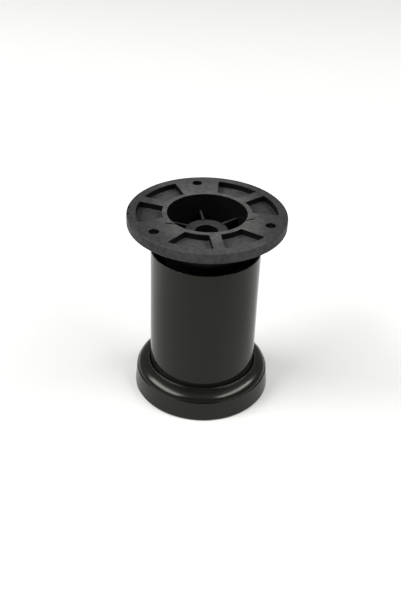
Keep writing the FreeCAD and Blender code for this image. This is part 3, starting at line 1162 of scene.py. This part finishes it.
# Points of the thread closer than this are one point, in millimetres
WELD = 0.002
# How far the shank starts inside the head, in millimetres, and the slope of the head's bevels
SHANK_BITE = 0.3
HEAD_BEVEL = math.radians(30)

def thread_radius_at(phase, settings):
    """Radius of the thread at a place along its pitch, from 0 to 1."""
    depth = settings.thread_depth
    root = settings.thread_radius - depth
    if phase < FLANK:
        return root + depth * phase / FLANK
    if phase < FLANK + CREST:
        return settings.thread_radius
    if phase < 2 * FLANK + CREST:
        return settings.thread_radius - depth * (phase - FLANK - CREST) / FLANK
    return root


def make_thread(bm, settings, low, tip, count):
    """The threaded shank, its rows following the helix."""
    turns = math.ceil((tip - low) / settings.pitch) + 1
    rows = []
    for turn in range(-1, turns):
        for phase in THREAD_PHASES:
            row = []
            for step in range(count + 1):
                around = step / count
                height = low + (turn + phase + around) * settings.pitch
                radius = thread_radius_at(phase, settings)
                clipped = min(max(height, low), tip)
                taper = settings.thread_radius - settings.tip_bevel + (tip - clipped)
                radius = min(radius, taper)
                if height < low:
                    radius = min(radius, settings.thread_radius - settings.thread_depth)
                x, y = on_circle(radius, FULL_TURN * around)
                row.append(bm.verts.new((x * MM, y * MM, clipped * MM)))
            rows.append(row)
    for lower, upper in zip(rows, rows[1:]):
        for step in range(count):
            bm.faces.new((lower[step], lower[step + 1], upper[step + 1], upper[step]))
    bmesh.ops.remove_doubles(bm, verts=bm.verts, dist=WELD * MM)
    bmesh.ops.holes_fill(bm, edges=[edge for edge in bm.edges if edge.is_boundary])


class LEG_OT_screw(bpy.types.Operator):
    """Build the adjusting screw: hexagon head and threaded shank"""

    bl_idname = "leg.screw"
    bl_label = "Adjusting screw"

    def execute(self, context):
        settings = in_millimetres(context.scene.leg.screw)
        low_corner, high_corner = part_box("adjusting_screw")
        low = low_corner.z / MM
        tip = high_corner.z / MM
        head_top = low + settings.head_height
        start = head_top - SHANK_BITE
        piece = add_solid(lambda bm: make_thread(bm, settings, start, tip, THREAD_COUNT), "threaded_screw")
        head = add_solid(lambda bm: prism(bm, hexagon(settings.head_across), low, head_top), "head")
        corner = settings.head_across / math.sqrt(3)
        flat = settings.head_across / 2
        drop = (corner - flat) * math.tan(HEAD_BEVEL)
        barrel_profile = [
            (0, low),
            (flat, low),
            (corner + FINE_ROUND, low + drop),
            (corner + FINE_ROUND, head_top - drop),
            (flat, head_top),
            (0, head_top),
        ]
        barrel = add_solid(lambda bm: lathe(bm, barrel_profile, BOSS_COUNT), "barrel")
        combine(head, barrel, "INTERSECT")
        join(piece, head)
        smooth(piece, SHARP_SCREW)
        place(piece, "foot", "adjusting_screw", zinc_plated_steel(settings))
        return {"FINISHED"}


def join(piece, other):
    """Puts the other object's mesh into the piece."""
    bm = bmesh.new()
    bm.from_mesh(piece.data)
    bm.from_mesh(other.data)
    bm.to_mesh(piece.data)
    bm.free()
    bpy.data.objects.remove(other)


# The stage

FLOOR_COUNT = 128
# The nearest and the farthest that the camera sees, in metres
CLIP = (0.01, 20.0)
# Each softbox: turn from the camera's side and height above the horizon in degrees, width and height in mm
SOFTBOXES = {"key": (-75, 44, 1450, 680), "fill": (76, 50, 1650, 380)}
# Where the sky turns from front to back, and from the walls to the ceiling, as parts of a direction
FRONT_TO_BACK = (-0.4, 0.8)
WALL_TO_CEILING = (0.45, 0.85)

def camera_directions(settings):
    """Right, up and forward of the camera, with its turn and roll."""
    elevation = settings.elevation
    roll = settings.roll
    right = Vector((1, 0, 0))
    forward = Vector((0, math.cos(elevation), -math.sin(elevation)))
    up = Vector((0, math.sin(elevation), math.cos(elevation)))
    rolled_right = right * math.cos(roll) + up * math.sin(roll)
    rolled_up = up * math.cos(roll) - right * math.sin(roll)
    turn = Matrix.Rotation(settings.azimuth, 3, "Z")
    return turn @ rolled_right, turn @ rolled_up, turn @ forward


def add_camera(settings):
    """The camera at the photograph's angle."""
    right, up, forward = camera_directions(settings)
    scale = settings.distance / settings.focal
    aim = Vector((0, 0, settings.aim_height))
    aside = up * (settings.aim_y * scale) - right * (settings.aim_x * scale)
    spot = aim - forward * settings.distance + aside
    data = bpy.data.cameras.new("camera")
    data.sensor_fit = "VERTICAL"
    data.sensor_height = FILM_HEIGHT
    data.sensor_width = FILM_HEIGHT
    data.lens = settings.focal / PICTURE[1] * FILM_HEIGHT
    data.clip_start, data.clip_end = CLIP
    camera = bpy.data.objects.new("camera", data)
    turn = Matrix((right, up, -forward)).transposed().to_4x4()
    camera.matrix_world = Matrix.Translation(spot * MM) @ turn
    bpy.context.scene.collection.objects.link(camera)
    bpy.context.scene.camera = camera


def add_softbox(name, settings, power):
    """A long softbox that faces the leg."""
    turn, height, *size = SOFTBOXES[name]
    data = bpy.data.lights.new(name, "AREA")
    data.energy = power
    data.shape = "RECTANGLE"
    data.size, data.size_y = (side * MM for side in size)
    light = bpy.data.objects.new(name, data)
    aim = Vector((0, 0, settings.aim_height))
    around = math.radians(turn)
    above = math.radians(height)
    flat = math.cos(above)
    direction = Vector((math.sin(around) * flat, -math.cos(around) * flat, math.sin(above)))
    start = Matrix.Rotation(settings.azimuth, 3, "Z") @ direction * settings.light_distance
    light.location = start * MM
    light.rotation_mode = "QUATERNION"
    light.rotation_quaternion = (aim - start).to_track_quat("-Z", "Y")
    bpy.context.scene.collection.objects.link(light)


def studio_paint(settings):
    """Matt emulsion on board: even and pale, with no pattern to catch the eye."""
    material, tree = new_material("matt_studio_paint")
    where = add_node(tree, "ShaderNodeTexCoord").outputs["Object"]
    shader = add_node(
        tree,
        "ShaderNodeBsdfPrincipled",
        inputs={
            "Base Color": settings.floor_colour,
            "Roughness": spread(tree, where, size_mm=60.0, low=0.85, high=0.95),
            "Specular IOR Level": 0.1,
        },
    )
    add_node(tree, "ShaderNodeOutputMaterial", inputs={"Surface": shader.outputs["BSDF"]})
    return material


def add_sky(settings):
    """Even light: a bright ceiling, a white paper sweep behind the leg and a dim room in front."""
    world = bpy.data.worlds.new("studio_air")
    world.use_nodes = True
    tree = world.node_tree
    tree.nodes.clear()
    direction = add_node(tree, "ShaderNodeTexCoord").outputs["Generated"]
    split = add_node(tree, "ShaderNodeSeparateXYZ", inputs={"Vector": direction})
    around = add_node(
        tree,
        "ShaderNodeMapRange",
        {"interpolation_type": "SMOOTHSTEP"},
        {
            "Value": split.outputs["Y"],
            "From Min": FRONT_TO_BACK[0],
            "From Max": FRONT_TO_BACK[1],
            "To Min": settings.front_sky,
            "To Max": settings.back_sky,
        },
    )
    strength = add_node(
        tree,
        "ShaderNodeMapRange",
        {"interpolation_type": "SMOOTHSTEP"},
        {
            "Value": split.outputs["Z"],
            "From Min": WALL_TO_CEILING[0],
            "From Max": WALL_TO_CEILING[1],
            "To Min": around.outputs["Result"],
            "To Max": settings.ceiling,
        },
    )
    air = add_node(
        tree, "ShaderNodeBackground", inputs={"Color": (1, 1, 1, 1), "Strength": strength.outputs["Result"]}
    )
    add_node(tree, "ShaderNodeOutputWorld", inputs={"Surface": air.outputs["Background"]})
    bpy.context.scene.world = world


class LEG_OT_stage(bpy.types.Operator):
    """Build the floor, the lights and the camera"""

    bl_idname = "leg.stage"
    bl_label = "Stage"

    def execute(self, context):
        settings = in_millimetres(context.scene.leg.stage)
        bm = bmesh.new()
        edge = ring(bm, circle(settings.floor_radius, FLOOR_COUNT), 0.0)
        bm.faces.new(edge)
        board = finish_mesh(bm, "floor")
        board.data.materials.append(studio_paint(settings))
        add_sky(settings)
        add_softbox("key", settings, settings.key)
        add_softbox("fill", settings, settings.fill)
        add_camera(settings)
        context.scene.view_settings.view_transform = "Standard"
        return {"FINISHED"}


class LEG_PT_panel(bpy.types.Panel):
    """Lists what the leg is built from"""

    bl_idname = "LEG_PT_panel"
    bl_label = "Cabinet leg"
    bl_space_type = "VIEW_3D"
    bl_region_type = "UI"
    bl_category = "Cabinet leg"

    def draw(self, context):
        column = self.layout.column()
        for step in BUILD_STEPS:
            column.operator(step.bl_idname)


SETTING_GROUPS = (TopPlateSettings, SleeveSettings, FootSettings, ScrewSettings, StageSettings, LegSettings)
BUILD_STEPS = (LEG_OT_stage, LEG_OT_top_plate, LEG_OT_sleeve, LEG_OT_foot, LEG_OT_screw)


def register():
    for group in (*SETTING_GROUPS, *BUILD_STEPS, LEG_PT_panel):
        bpy.utils.register_class(group)
    bpy.types.Scene.leg = PointerProperty(type=LegSettings)


def unregister():
    del bpy.types.Scene.leg
    for group in reversed((*SETTING_GROUPS, *BUILD_STEPS, LEG_PT_panel)):
        bpy.utils.unregister_class(group)


def main():
    register()
    bpy.ops.leg.stage()
    bpy.ops.leg.top_plate()
    bpy.ops.leg.sleeve()
    bpy.ops.leg.foot()
    bpy.ops.leg.screw()


if __name__ == "__main__":
    main()
